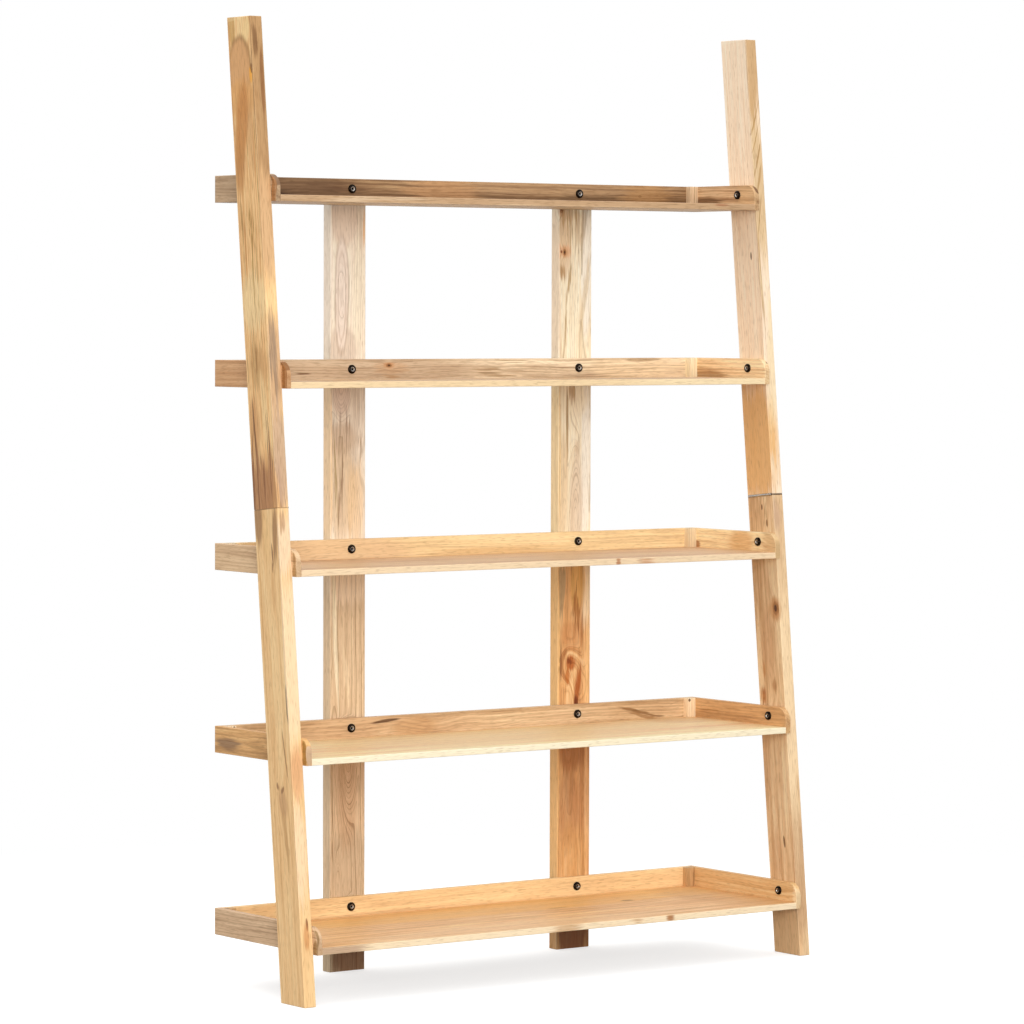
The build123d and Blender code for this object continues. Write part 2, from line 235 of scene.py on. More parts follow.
    # Satin oil, paler and shinier where the edges are rubbed, over a raised fibre that can just be felt
    wear = add(tree, "Math", [rubbed_edges(tree, place, low, high, rough), sides_only], operation="MULTIPLY")
    colour = add(tree, "Mix", {"Factor": wear, "A": colour, "B": linear(tones[0])}, data_type="RGBA")
    gloss = add(tree, "MapRange", [noises["fibres"], 0.3, 0.7, 0.46, 0.58])
    gloss = add(tree, "Math", [wear, -0.2, gloss], operation="MULTIPLY_ADD")
    relief = add(tree, "Math", [dashes, -1.2, noises["fibres"]], operation="MULTIPLY_ADD")
    bump = add(tree, "Bump", {"Height": relief, "Strength": 0.3, "Distance": 0.0004})
    feed(tree, tree.nodes["Principled BSDF"], {"Base Color": colour, "Roughness": gloss, "Normal": bump,
                                               "IOR": 1.5, "Specular IOR Level": 0.3})
    dress(node, material)


# Places on a leg: X from its front face to its back, Y = 12.5 on the face to the left, Z up along the leg
leg_boards = {
    "left_leg_lower": dict(
        tones=("#fddba4", "#f4c990", "#d9a46a"), figure=(0.35, 0.6, 0.4), veins=0.15, flecks=0.25,
        pith=(110, 20), seed=4.1,
        loops=(((40, 12, 385), (30, 40, 110), 16, 1), ((36, 12, 760), (30, 40, 120), 14, 1)),
        marks=(
            ("#fddcb4", 0.7, (-1, 0, 290), (3, 40, 110), 0, 0.7),  # pale front below the knot
            ("#f6dab8", 0.7, (-1, 0, 840), (3, 40, 60), 0, 0.8),  # pale front near the joint
            ("#a57b52", 0.85, (64, 12, 890), (15, 16, 46), 0, 1.3),  # brown tongue at the joint, rear
            ("#a57b52", 0.85, (10, 12, 866), (10, 16, 58), -4, 1.3),  # brown tongue at the joint, front
            ("#f3c98d", 0.7, (42, 12, 860), (11, 16, 48), 0, 0.9),  # pale wood between the tongues
            ("#7d5230", 0.85, (24, 12, 822), (2.5, 8, 20), 3, 1.0),  # dark fleck
            ("#7d5230", 0.7, (27, 12, 800), (1.8, 8, 10), 0, 0.6),  # smaller fleck below it
            ("#5a3620", 0.9, (3, 12, 552), (3.0, 8, 34), 0, 0.8),  # crack along the front arris
            ("#9a6c42", 0.8, (19, 12, 455), (2.2, 8, 46), 9, 1.6),  # streak from the crack to the knot
            ("#c4966a", 0.7, (36, 12, 372), (14, 14, 30), 6, 1.6),  # brown shade round the knot
            ("#8a5c38", 0.8, (47, 12, 402), (5, 8, 10), 20, 2.0),  # knot, rear half
            ("#8a5c38", 0.75, (33, 12, 396), (4, 8, 8), -30, 2.0),  # knot, front half
            ("#c4945e", 0.7, (31, 12, 308), (6, 14, 70), 4, 2.2),  # brown streak below the knot
            ("#e0a070", 0.6, (0, 0, 425), (5, 18, 55), 0, 0.8),  # reddish patch on the front
            ("#ffe3bb", 0.65, (0, 0, 640), (4, 40, 180), 0, 0.8),  # pale front above the patch
            ("#8a5530", 0.85, (0, -1, 150), (4, 2.5, 12), 0, 0.6),  # small knot on the front
            ("#d08f55", 0.7, (0, 2, 125), (4, 6, 28), 0, 1.0),  # brown shade below it
            ("#b98a60", 0.7, (0, 2, 880), (4, 9, 24), 0, 1.6),  # brown front at the joint
            ("#6a4526", 0.5, (39, 0, 909), (200, 60, 1.5), 0, 0),  # shadow line of the joint
        )),
    "left_leg_upper": dict(
        tones=("#ffe2a8", "#fed094", "#dca265"), figure=(0.5, 0.9, 0.9), veins=0.25, flecks=0.5,
        pith=(150, 10), ring=4.0, seed=7.3, loops=(((42, 12, 1705), (34, 40, 75), 16, 1),),
        marks=(
            ("#cc9c56", 0.75, (66, 12, 1790), (13, 16, 40), 0, 2.0),  # tan top rear corner
            ("#ffdc9e", 0.85, (15, 12, 1786), (13, 16, 26), -20, 0.8),  # pale top front corner
            ("#a87a48", 0.85, (42, 12, 1722), (37, 16, 54), 0, 0.25),  # brown rim of the dome
            ("#e6b078", 0.9, (44, 12, 1717), (34, 16, 51), 0, 0.25),  # tan dome
            ("#ffb648", 0.9, (7, 12, 1702), (6, 10, 16), 0, 0.8),  # yellow spot by the arris
            ("#7c4a20", 0.85, (4, 11, 1714), (3, 8, 9), 0, 0.6),  # dark spot above it
            ("#e8ae6c", 0.85, (44, 12, 1662), (60, 14, 36), 0, 1.0),  # tan band below the dome
            ("#cf8e4e", 0.9, (48, 12, 1605), (22, 18, 95), -13, 1.0),  # orange heartwood band
            ("#c98f54", 0.8, (60, 12, 1535), (18, 16, 62), -6, 1.4),  # its lower end
            ("#d6a26a", 0.7, (16, 12, 1590), (14, 14, 90), 0, 2.0),  # tan wood in front of it
            ("#ffe0a8", 0.7, (45, 12, 1290), (50, 14, 60), 0, 1.2),  # pale stretch
            ("#b4843f", 0.9, (35, 12, 1440), (36, 14, 120), 0, 7.0),  # brown dashes
            ("#b98a50", 0.9, (66, 12, 1440), (9, 14, 105), 0, 4.0),  # brown dashes along the rear
            ("#c09660", 0.7, (40, 12, 1168), (44, 16, 62), 0, 2.6),  # brown shade
            ("#aa7a42", 0.9, (38, 12, 1190), (36, 14, 60), 0, 7.0),  # brown dashes in it
            ("#dcaa72", 0.7, (20, 12, 1172), (18, 14, 36), 0, 1.5),  # tan patch in front
            ("#f8d39a", 0.8, (26, 12, 1085), (11, 14, 78), 2, 0.9),  # pale tongue
            ("#d49e68", 0.8, (60, 12, 1062), (18, 14, 66), 0, 1.4),  # tan wood behind it
            ("#6f4826", 0.85, (60, 12, 1045), (2.8, 12, 80), 3, 1.5),  # dark streak
            ("#b27e54", 0.9, (42, 12, 935), (80, 18, 84), 0, 1.6),  # brown heartwood at the joint
            ("#8c5c36", 0.9, (44, 12, 955), (36, 14, 85), 0, 7.0),  # dark dashes in it
            ("#d8ac7e", 0.85, (-1, 0, 1440), (3, 40, 120), 0, 0.8),  # tan front
            ("#d8ae84", 0.85, (-1, 0, 1170), (3, 40, 90), 0, 0.9),  # tan front, lower
            ("#b2875a", 0.85, (-1, 0, 1680), (3, 40, 190), 0, 0.6),  # brown front near the top
            ("#7d5632", 0.75, (-1, 5, 1762), (3, 6, 34), 0, 1.2),  # dark stain near the top
            ("#8d5a30", 0.75, (0, -7, 1690), (4, 4, 60), 0, 1.6),  # dark streak on the front
            ("#a2866c", 0.85, (-1, -1, 1195), (3, 8, 95), 0, 2.4),  # grey-brown streak
            ("#c8a68a", 0.8, (-1, 2, 1000), (3, 16, 105), 0, 1.0),  # greyish front near the joint
        )),
    "right_leg_lower": dict(
        tones=("#f6ddb2", "#e6c194", "#c29566"), figure=(0.2, 1.2, 0.25), veins=0.1, flecks=0.3,
        pith=(-90, 30), seed=2.7, loops=(((31, 12, 533), (26, 40, 62), 14, 1),),
        knots=(((13, 12, 684), 8.5), ((66, 12, 508), 4.0)),
        marks=(
            ("#c8925e", 0.7, (18, 12, 682), (17, 12, 24), 0, 1.2),  # halo of the knot
            ("#6f4526", 0.85, (26, 12, 853), (2.6, 6, 7), 0, 0.4),  # pin knot
            ("#6f4526", 0.85, (38, 12, 885), (2.4, 6, 6), 0, 0.4),  # pin knot
            ("#a5763f", 0.9, (52, 12, 868), (20, 10, 34), 0, 5.0),  # brown dashes below the joint
            ("#b07c4c", 0.8, (31, 12, 533), (9, 14, 18), 0, 1.6),  # brown eye inside the loop
            ("#b87a3c", 0.85, (60, 12, 564), (9, 12, 24), 10, 3.0),  # orange-brown streaks at the rear
            ("#a9622a", 0.85, (66, 12, 515), (7, 12, 22), 0, 2.4),  # red-brown patch at the rear knot
            ("#c9976a", 0.55, (45, 12, 610), (22, 20, 90), 0, 1.5),  # tan shade between the knots
            ("#6a4424", 0.85, (29, 12, 224), (2.6, 6, 13), 4, 0.5),  # slim pin knot
            ("#bd8e64", 0.35, (50, 12, 200), (16, 20, 50), 0, 1.5),  # tan shade beside it
            ("#f3c28c", 0.85, (45, 12, 40), (60, 20, 80), 0, 1.0),  # pale foot
            ("#c9a184", 0.65, (0, 4, 865), (4, 14, 45), 0, 1.2),  # greyish front below the joint
            ("#ffe2b6", 0.6, (0, 0, 480), (4, 40, 260), 0, 0.8),  # pale front
            ("#cba177", 0.85, (-1, 0, 165), (3, 40, 150), 0, 1.0),  # tan front above the foot
            ("#4a2f1a", 0.9, (39, 0, 909), (200, 60, 2.2), 0, 0),  # shadow line of the joint
        )),
    "right_leg_upper": dict(
        tones=("#fff4dc", "#ffe5c6", "#f0caa2"), figure=(0.3, 0.4, 0.5), veins=0.3, flecks=0.12,
        pith=(-140, 20), ring=3.4, seed=9.2,
        marks=(
            ("#dfbc8a", 0.85, (-1, 0, 1500), (4.5, 40, 180), 0, 0.8),  # tan front
            ("#ecb36a", 0.85, (41, 12, 1015), (80, 24, 125), 0, 0.9),  # golden wood above the joint
            ("#6a4424", 0.9, (26, 12, 1382), (2.4, 6, 9), 0, 0.4),  # pin knot
            ("#d0a672", 0.9, (-1, 0, 1750), (3, 40, 120), 0, 0.6),  # tan front at the top
            ("#b88c52", 0.8, (-1, 0, 1652), (6, 1.6, 48), (20, 0), 1.0),  # slanting line on the front
            ("#b88c52", 0.75, (-1, 0, 1618), (6, 1.2, 48), (20, 0), 1.0),  # slanting line
            ("#b08450", 0.8, (-1, 0, 1576), (6, 2.4, 48), (18, 0), 1.2),  # slanting line
            ("#b58a54", 0.75, (-1, 1, 1530), (6, 3.4, 44), (14, 0), 1.2),  # slanting line
            ("#b58a54", 0.8, (-1, 4, 1462), (6, 2.0, 46), (10, 0), 1.2),  # slanting line
            ("#b98d55", 0.7, (0, 9, 1250), (4, 2, 90), 0, 1.6),  # brown streak on the front
            ("#b0804a", 0.75, (1, 12, 1330), (3, 2.5, 110), 0, 1.2),  # brown arris
            ("#fbe2b4", 0.6, (-1, -4, 1200), (3, 40, 240), 0, 0.8),  # pale front
            ("#ffe8c8", 0.8, (-1, 0, 955), (3, 40, 50), 0, 0.6),  # pale front at the joint
            ("#4a2f1a", 0.7, (39, 0, 909), (200, 60, 1.2), 0, 0),  # shadow line of the joint
        )),
}
leg_depth, leg_thickness, joint_height = 78, 25, 900
toe = -0.183  # where the legs' front faces meet the floor
fourth, fifth = (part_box(f"tray_{number}_panel")[0] for number in (4, 5))
lean = math.atan2(fourth[1] - fifth[1], fourth[2] - fifth[2])  # the legs follow the trays' front edges
leg_up = (0, math.sin(lean), math.cos(lean))
leg_back = (0, math.cos(lean), -math.sin(lean))
leg_joint = joint_height / math.cos(lean) + leg_depth / 2 * math.tan(lean)
for node, look in leg_boards.items():
    low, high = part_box(node)
    start, end = (0, leg_joint) if node.endswith("lower") else (leg_joint, high[2] * mm / math.cos(lean))
    mango(node, leg_up, leg_back, origin=((low[0] + high[0]) / 2, toe, 0),
          low=Vector((0, -leg_thickness / 2, start)),
          high=Vector((leg_depth, leg_thickness / 2, end)), **look)

# Posts: two upright posts behind the trays, each of two flat-sawn mango boards that butt behind the middle
# tray. Their wide faces show arches, loops and knots, because they are cut near the outside of the log.
# Places on a post: X from its middle, Y = -12.5 on the front face, Z up from the floor
post_boards = {
    "left_post_lower": dict(
        tones=("#fbe4be", "#e6c9a4", "#c3a17c"), figure=(0.3, 0.4, 0.3), veins=0.7, flecks=0.25,
        pith=(-45, 50), ring=3.6, seed=3.3,
        loops=(((-2, -12, 465), (34, 60, 240), 60, 8), ((-24, -12, 150), (15, 60, -110), 16, 2),
               ((2, -12, 132), (17, 40, 26), 14, 1)),
        marks=(
            ("#cdb392", 0.85, (4, -12, 200), (60, 20, 75), 0, 0.8),  # greyish band over the lowest tray
            ("#ffe6c6", 0.8, (0, -12, 742), (60, 20, 42), 0, 0.9),  # pale top end: painted light that lifts the shade under the third tray
            ("#fff0cf", 0.85, (-27, -12, 640), (5, 16, 150), -2.5, 0.9),  # pale streak
            ("#fbe3bd", 0.6, (-4, -12, 565), (6, 14, 60), -6, 1.2),  # pale streak
            ("#ba8a60", 0.4, (-2, -12, 340), (26, 20, 110), 0, 0.9),  # brown heart of the arch
            ("#94704a", 0.85, (-35, -12, 300), (2.6, 12, 120), 0, 3.0),  # dark streak by the left edge
            ("#8c5c3a", 0.85, (6, -13, 30), (48, 7, 66), 0, 0.8),  # stained foot
        )),
    "left_post_upper": dict(
        tones=("#fff8e4", "#f8e8d2", "#dcc5aa"), figure=(0.3, 0.5, 0.4), veins=0.4, flecks=0.2,
        pith=(-16, 12), ring=4.4, seed=6.6,
        loops=(((-16, -12, 1292), (16, 60, 112), 12, 1), ((-16, -12, 1128), (27, 60, 110), 40, 8),
               ((22, -12, 960), (20, 60, 120), 12, 1)),
        marks=(
            ("#dfc29c", 0.75, (-12, -12, 925), (34, 20, 100), 0, 0.8),  # tan lower stretch
            ("#cfb394", 0.8, (-10, -12, 1018), (36, 20, 36), 0, 1.0),  # greyish band
            ("#dcc8b4", 0.8, (-14, -12, 1195), (36, 20, 36), 0, 0.8),  # greyish band
            ("#ead4be", 0.85, (-10, -12, 1440), (29, 20, 54), 0, 0.5),  # pinkish cap
            ("#b3967c", 0.8, (-16, -12, 1290), (14.6, 20, 108), 0, 0.25),  # outer ring of the oval
            ("#f4e4d4", 0.95, (-16, -12, 1292), (12.8, 20, 102), 0, 0.25),  # pale wood inside it
            ("#c4a890", 0.7, (-16, -12, 1288), (8.2, 20, 82), 0, 0.25),  # inner ring
            ("#f4e4d4", 0.95, (-16, -12, 1290), (6.8, 20, 76), 0, 0.25),  # pale heart
            ("#fff4da", 0.6, (22, -12, 1300), (14, 20, 110), 0, 0.8),  # pale right half
            ("#eba95c", 0.75, (34, -12, 1425), (2.2, 14, 42), 0, 1.5),  # orange streak at the top
            ("#ecd4be", 0.85, (-16, -12, 1098), (19, 20, 38), 0, 0.8),  # pinkish cap under the second tray
            ("#b0927a", 0.85, (-8, -12, 1035), (26, 16, 44), 0, 6.0),  # grey-brown dashes
            ("#b08a62", 0.9, (18, -12, 1020), (14, 12, 60), 0, 6.5),  # brown dashes
            ("#aa8e60", 0.8, (-28, -12, 950), (3, 12, 84), -2, 3.0),  # mineral streak
            ("#a98a6c", 0.85, (-16, -12, 930), (5, 12, 80), 2, 4.0),  # brown streak
            ("#f3d0a0", 0.6, (15, -12, 900), (22, 20, 90), 0, 1.0),  # warm right half
            ("#ffdcae", 0.8, (-40, 0, 980), (4, 40, 180), 0, 0.6),  # warm left side, partly painted light from the left
            ("#fff1de", 0.95, (-40, 0, 1350), (4, 40, 160), 0, 0.6),  # pale left side, partly painted light from the left
        )),
    "right_post_lower": dict(
        tones=("#fbd6a2", "#e6b076", "#b97a48"), figure=(0.5, 0.8, 0.6), veins=0.5, flecks=0.3,
        pith=(-12, 25), ring=4.4, seed=8.4,
        loops=(((-9, -12, 563), (34, 40, 64), 30, 1), ((11, -12, 520), (26, 40, 74), 24, 1),
               ((-14, -12, 430), (14, 50, 70), 22, 3)),
        marks=(
            ("#c08a5c", 0.7, (-14, -12, 280), (30, 20, 80), 0, 0.9),  # brown left half
            ("#d0905a", 0.6, (-8, -12, 622), (30, 20, 30), 0, 1.0),  # orange band over the knots
            ("#fbe0b8", 0.9, (30, -12, 715), (16, 20, 90), 0, 0.8),  # pale right edge at the top, partly painted light that lifts the shade under the third tray
            ("#ac8e68", 0.8, (-32, -12, 708), (10, 14, 66), 3, 3.0),  # grey-brown streak at the left
            ("#e0aa5c", 0.7, (8, -12, 725), (20, 16, 60), 0, 1.0),  # golden top end
            ("#a86a36", 0.85, (10, -12, 668), (18, 12, 44), 0, 6.0),  # brown dashes
            ("#b0723c", 0.7, (28, -12, 650), (8, 12, 40), 0, 5.0),  # brown dashes
            ("#b55f24", 0.9, (-9, -12, 568), (15, 14, 15), 0, 1.6),  # red-brown knot
            ("#7a3a14", 0.8, (-12, -12, 572), (9, 10, 6), 30, 2.0),  # its dark heart
            ("#c2702f", 0.85, (-18, -12, 542), (9, 12, 18), 0, 2.0),  # its red-brown tail
            ("#a9561f", 0.9, (11, -12, 520), (8, 14, 46), 6, 1.5),  # long red-brown knot
            ("#6e2c0c", 0.9, (7, -12, 490), (5, 12, 16), 0, 1.2),  # its dark lower end
            ("#f8c88c", 0.7, (34, -12, 560), (8, 14, 120), 0, 1.0),  # pale right edge
            ("#8d5c38", 0.7, (-34, -12, 570), (5, 12, 60), 0, 2.0),  # brown left edge
            ("#b27646", 0.85, (-6, -12, 395), (36, 18, 46), 0, 1.0),  # brown band under the fourth tray
            ("#b87a4a", 0.4, (16, -12, 300), (24, 18, 80), 0, 2.0),  # brown shade
            ("#d29c5e", 0.5, (-6, -12, 180), (40, 20, 70), 0, 1.2),  # golden shade over the lowest tray
            ("#f6c888", 0.85, (-40, 0, 460), (4, 30, 400), 0, 0.5),  # pale left side, partly painted light from the left
            ("#7e4726", 0.9, (6, -13, 30), (48, 7, 66), 0, 0.8),  # stained foot
        )),
    "right_post_upper": dict(
        tones=("#fffbe8", "#fff2d4", "#e8cea6"), figure=(0.3, 0.5, 0.4), veins=0.45, flecks=0.2,
        pith=(30, 14), ring=4.4, seed=5.2,
        loops=(((6, -12, 800), (34, 60, -310), 64, 8), ((40, -12, 1290), (30, 60, 260), 14, 1)),
        knots=(((-22, -12, 1378), 4), ((-31, -12, 1462), 5)),
        marks=(
            ("#fff8e8", 0.85, (29, -12, 960), (13, 20, 175), 0, 0.7),  # pale right third, partly painted light that lifts the shade under the second tray
            ("#fff8e8", 0.85, (29, -12, 1340), (13, 20, 150), 0, 0.7),  # pale right third, partly painted light that lifts the shade under the first tray
            ("#fff0d0", 0.8, (-10, -12, 1088), (40, 20, 34), 0, 0.9),  # painted light that lifts the shade under the second tray
            ("#e2bc90", 0.6, (-24, -12, 1385), (16, 20, 60), 0, 0.8),  # tan shade round the knots
            ("#c79c68", 0.65, (-14, -12, 1455), (20, 16, 26), 0, 2.6),  # brown shade at the top
            ("#c8a472", 0.55, (0, -12, 1424), (24, 14, 38), 0, 6.0),  # brown dashes
            ("#e8ac7c", 0.6, (-25, -12, 1380), (17, 14, 15), 0, 2.0),  # orange halo of a pair of knots
            ("#8a4a28", 0.85, (-30, -12, 1379), (2.4, 6, 3), 0, 0.6),  # the smaller knot
            ("#b48a5c", 0.85, (-28, -12, 1340), (8, 12, 20), 0, 3.0),  # brown streaks below
            ("#bd9a6a", 0.85, (-14, -12, 1310), (4, 12, 56), 9, 3.5),  # brown streak
            ("#bd9a6a", 0.85, (-23, -12, 1225), (4.5, 12, 60), 4, 3.5),  # brown streak, lower
            ("#bd9a6a", 0.85, (-30, -12, 1172), (4.5, 12, 44), 6, 3.5),  # its end
            ("#d6ba8c", 0.5, (24, -12, 1290), (7, 12, 84), 8, 1.6),  # slanting tan streak
            ("#a98552", 0.85, (-20, -12, 1050), (5, 12, 90), 1, 3.0),  # brown streak
            ("#b08c5a", 0.85, (-24, -12, 955), (4.5, 12, 60), 4, 4.0),  # brown streak, lower
            ("#b48a58", 0.75, (-7, -12, 1104), (13, 14, 30), 0, 5.0),  # brown dashes
            ("#bf9a70", 0.5, (4, -12, 990), (9, 14, 32), 0, 2.4),  # tan patch in the arch
            ("#e2cab0", 0.65, (2, -12, 870), (17, 16, 130), 0, 1.0),  # pinkish heart of the arch
            ("#ecd0a6", 0.7, (-30, -12, 910), (13, 14, 120), 0, 0.8),  # tan left edge
            ("#ffe2ae", 0.9, (-40, 0, 960), (5, 30, 190), 0, 0.6),  # warm left side, partly painted light from the left
            ("#ffe9cc", 0.9, (-40, 0, 1310), (5, 30, 170), 0, 0.6),  # pale left side, partly painted light from the left
        )),
}
for node, look in post_boards.items():
    low, high = (Vector(corner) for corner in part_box(node))
    base = Vector(((low.x + high.x) / 2, (low.y + high.y) / 2, 0))
    mango(node, (0, 0, 1), (1, 0, 0), origin=base, low=(low - base) * mm, high=(high - base) * mm, **look)

# Tray floors: flat panels glued up from mango staves about 70 mm wide, planed as one and left with a bare
# front edge. They carry the load, and the back board and walls are glued round them.
# Places on a panel: X from its middle to the back, Y = 6 on the upper face, Z to the right
panel_boards = (
    dict(
        tones=("#e2bf99", "#c8a47e", "#98734e"), seed=1.7, flecks=0.5,
        marks=(
            ("#ffe2b8", 0.9, (0, -6, 0), (140, 3, 700), 0, 0.3),  # pale underside
            ("#c8a27a", 0.8, (-103, 0, 0), (9, 60, 3000), 0, 0.5),  # even front edge
            ("#a98660", 0.7, (-103, 0, -560), (9, 40, 110), 0, 0.8),  # darker left end: painted shadow of the left leg
            ("#b0714a", 0.8, (-103, 3, 475), (6, 3, 26), 0, 1.2),  # reddish flaw
            ("#ecd2b0", 0.6, (-103, 0, -330), (9, 40, 150), 0, 1.6),  # pale stretch
        )),
    dict(
        tones=("#f7d6ac", "#e8c49a", "#d2ac82"), seed=3.4,
        marks=(
            ("#f6daac", 0.8, (-120, 0, 0), (9, 60, 3000), 0, 0.4),  # even front edge
            ("#ffe8bc", 0.7, (-120, 0, 400), (9, 40, 260), 0, 0.6),  # paler to the right
        )),
    dict(
        tones=("#fddcac", "#f0c598", "#d7ab80"), seed=5.1,
        marks=(
            ("#dfb88c", 0.5, (-60, 6, 0), (80, 12, 900), 0, 0.8),  # darker front half
            ("#fbd8ac", 0.5, (90, 6, 80), (50, 12, 420), 0, 0.8),  # paler rear
            ("#f6dcb6", 0.85, (-137, 0, 0), (9, 60, 3000), 0, 0.4),  # even front edge
            ("#bd8156", 0.9, (-137, 0, 170), (9, 10, 7), 20, 0.9),  # flaw in the edge
            ("#c98d64", 0.85, (-137, 0, 236), (9, 7, 30), 0, 1.8),  # long flaw beside it
        )),
    dict(
        tones=("#fff2c0", "#ffe4b0", "#f6ca96"), seed=6.8, figure=(0.5, 0.6, 0.6), veins=0.15,
        marks=(
            ("#ffe0aa", 0.7, (20, 6, 40), (130, 12, 420), 0, 1.0),  # warm middle
            ("#d8aa78", 0.5, (100, 6, 500), (70, 12, 90), 0, 0.8),  # darker right rear corner
            ("#fff2d4", 0.85, (-155, 0, 0), (9, 60, 3000), 0, 0.4),  # even front edge
        )),
    dict(
        tones=("#ffe2a4", "#fdce96", "#e0ac70"), seed=8.5,
        marks=(
            ("#fcc676", 0.7, (95, 6, 60), (66, 12, 600), 0, 0.7),  # golden rear
            ("#a8743c", 0.75, (53, 6, 308), (10, 8, 16), 0, 1.6),  # small knot
            ("#ffdcae", 0.5, (-120, 6, -50), (50, 12, 420), 0, 0.9),  # paler front
            ("#d4a064", 0.5, (0, 6, 500), (180, 12, 90), 0, 0.9),  # darker right end
            ("#fbe8c6", 0.8, (-172, 0, 0), (9, 60, 3000), 0, 0.4),  # even front edge
            ("#d2a678", 0.8, (-172, 0, 0), (9, 40, 44), 0, 1.0),  # brown patch in its middle
            ("#bd9a7c", 0.85, (-172, 0, -535), (9, 40, 75), 0, 0.8),  # its greyish left end
            ("#c98f55", 0.9, (-172, 0, 165), (9, 9, 24), 0, 1.2),  # flaw in the edge
            ("#ad6f3c", 0.9, (-172, -1, 241), (9, 9, 14), 25, 0.9),  # knot in the edge
            ("#a87038", 0.7, (40, 6, 130), (3, 8, 26), 0, 1.2),  # dark fleck on the top
        )),
)
for number, look in enumerate(panel_boards, 1):
    mango(f"tray_{number}_panel", (1, 0, 0), (0, 1, 0), pith=(0, -60), stave=72, **look)

# Tray backs: one mango board behind each tray, glued to the floor's rear edge and bolted to both posts.
# Places on a back: X down from its middle, Y = -6 on the front face, Z to the right
back_boards = (
    dict(
        tones=("#c09e74", "#9a7855", "#6c4c32"), seed=2.3, figure=(0.6, 0.9, 0.7), veins=0.35, flecks=0.5,
        marks=(
            ("#c6a27a", 0.5, (-16, -6, 200), (14, 20, 340), 0, 0.6),  # paler upper right: painted light above the panel's shade
            ("#6c4e32", 0.65, (16, -6, 0), (15, 20, 3000), 0, 0.6),  # dark lower half: painted shade of the floor panel
            ("#6c5038", 0.75, (0, -6, -450), (44, 20, 200), 0, 0.9),  # dark left end: painted shade beside the left wall
            ("#453020", 0.9, (18, -6, -545), (26, 20, 150), 0, 0.5),  # darkest lower left corner: painted shade in the corner
            ("#bd9064", 0.7, (0, -6, -60), (30, 14, 90), 0, 1.8),  # tan middle
            ("#4a3018", 0.9, (-2, -6, 421), (3.5, 8, 4.5), 0, 0.4),  # pin knot
            ("#b98c5a", 0.6, (0, -6, 440), (40, 14, 70), 0, 1.4),  # tan shade round it
            ("#5f4228", 0.5, (14, -6, 300), (20, 14, 90), 0, 3.0),  # dark streaks
        )),
    dict(
        tones=("#fdeaca", "#e8d0ae", "#bda080"), seed=4.6, figure=(0.7, 0.7, 0.8), veins=0.35, flecks=0.45,
        knots=(((-14, -6, -184), 4),),
        marks=(
            ("#bc9e80", 0.7, (0, -6, -290), (40, 14, 330), 0, 0.8),  # greyish left half
            ("#6f4c30", 0.85, (-12, -6, -470), (3, 8, 26), 8, 1.2),  # dark fleck
            ("#7a5638", 0.8, (4, -6, -380), (2, 8, 20), 0, 1.2),  # dark fleck
            ("#cba27a", 0.55, (-6, -6, -180), (14, 12, 40), 0, 1.8),  # tan shade round the knot
            ("#b48e66", 0.85, (10, -6, -175), (10, 10, 30), 0, 5.0),  # brown dashes below it
            ("#7a5230", 0.85, (-20, -6, 429), (4.5, 8, 40), 0, 0.9),  # dark streak at the rim
            ("#f6d8ac", 0.4, (0, -6, 400), (40, 14, 130), 0, 1.2),  # pale right end
            ("#b4946e", 0.85, (6, -6, 60), (14, 12, 120), 0, 7.0),  # brown dashes
        )),
    dict(
        tones=("#ffe6b6", "#f6d8a2", "#dcba8c"), seed=6.9, figure=(0.4, 0.6, 0.5), veins=0.1, flecks=0.15,
        marks=(
            ("#e4be94", 0.65, (0, -6, -340), (40, 14, 220), 0, 0.8),  # tan left half
            ("#d9aa70", 0.5, (10, -6, 100), (14, 12, 200), 0, 2.0),  # golden shade
            ("#c08a50", 0.6, (22, -6, -330), (3, 8, 60), 0, 1.5),  # brown streak at the foot
        )),
    dict(
        tones=("#f2d6ac", "#dfbc92", "#b8936a"), seed=9.2, figure=(0.5, 0.7, 0.7), veins=0.3, flecks=0.35,
        loops=(((0, -6, -70), (34, 30, 110), 12, 1), ((6, -6, 60), (34, 30, 90), 8, 1)),
        marks=(
            ("#cca278", 0.45, (0, -6, -250), (40, 14, 260), 0, 0.9),  # tan left half
            ("#5f3f26", 0.9, (-14, -6, -190), (2.8, 8, 34), -4, 0.8),  # dark slit
            ("#c99a68", 0.5, (0, -6, -120), (20, 14, 50), 0, 1.0),  # tan shade
            ("#7f5832", 0.9, (-4, -6, 415), (4, 8, 66), 12, 1.8),  # slanting dark streak
            ("#9a7044", 0.8, (8, -6, 440), (4, 8, 56), 14, 2.0),  # slanting brown streak
            ("#b98b5c", 0.25, (0, -6, 430), (40, 14, 90), 0, 1.5),  # brown shade round them
        )),
    dict(tones=("#fbdea8", "#f3ce98", "#dcb482"), seed=11.5, figure=(0.4, 0.6, 0.5), veins=0.1, flecks=0.15),
)
for number, look in enumerate(back_boards, 1):
    mango(f"tray_{number}_back", (1, 0, 0), (0, 0, -1), pith=(90, 30), **look)

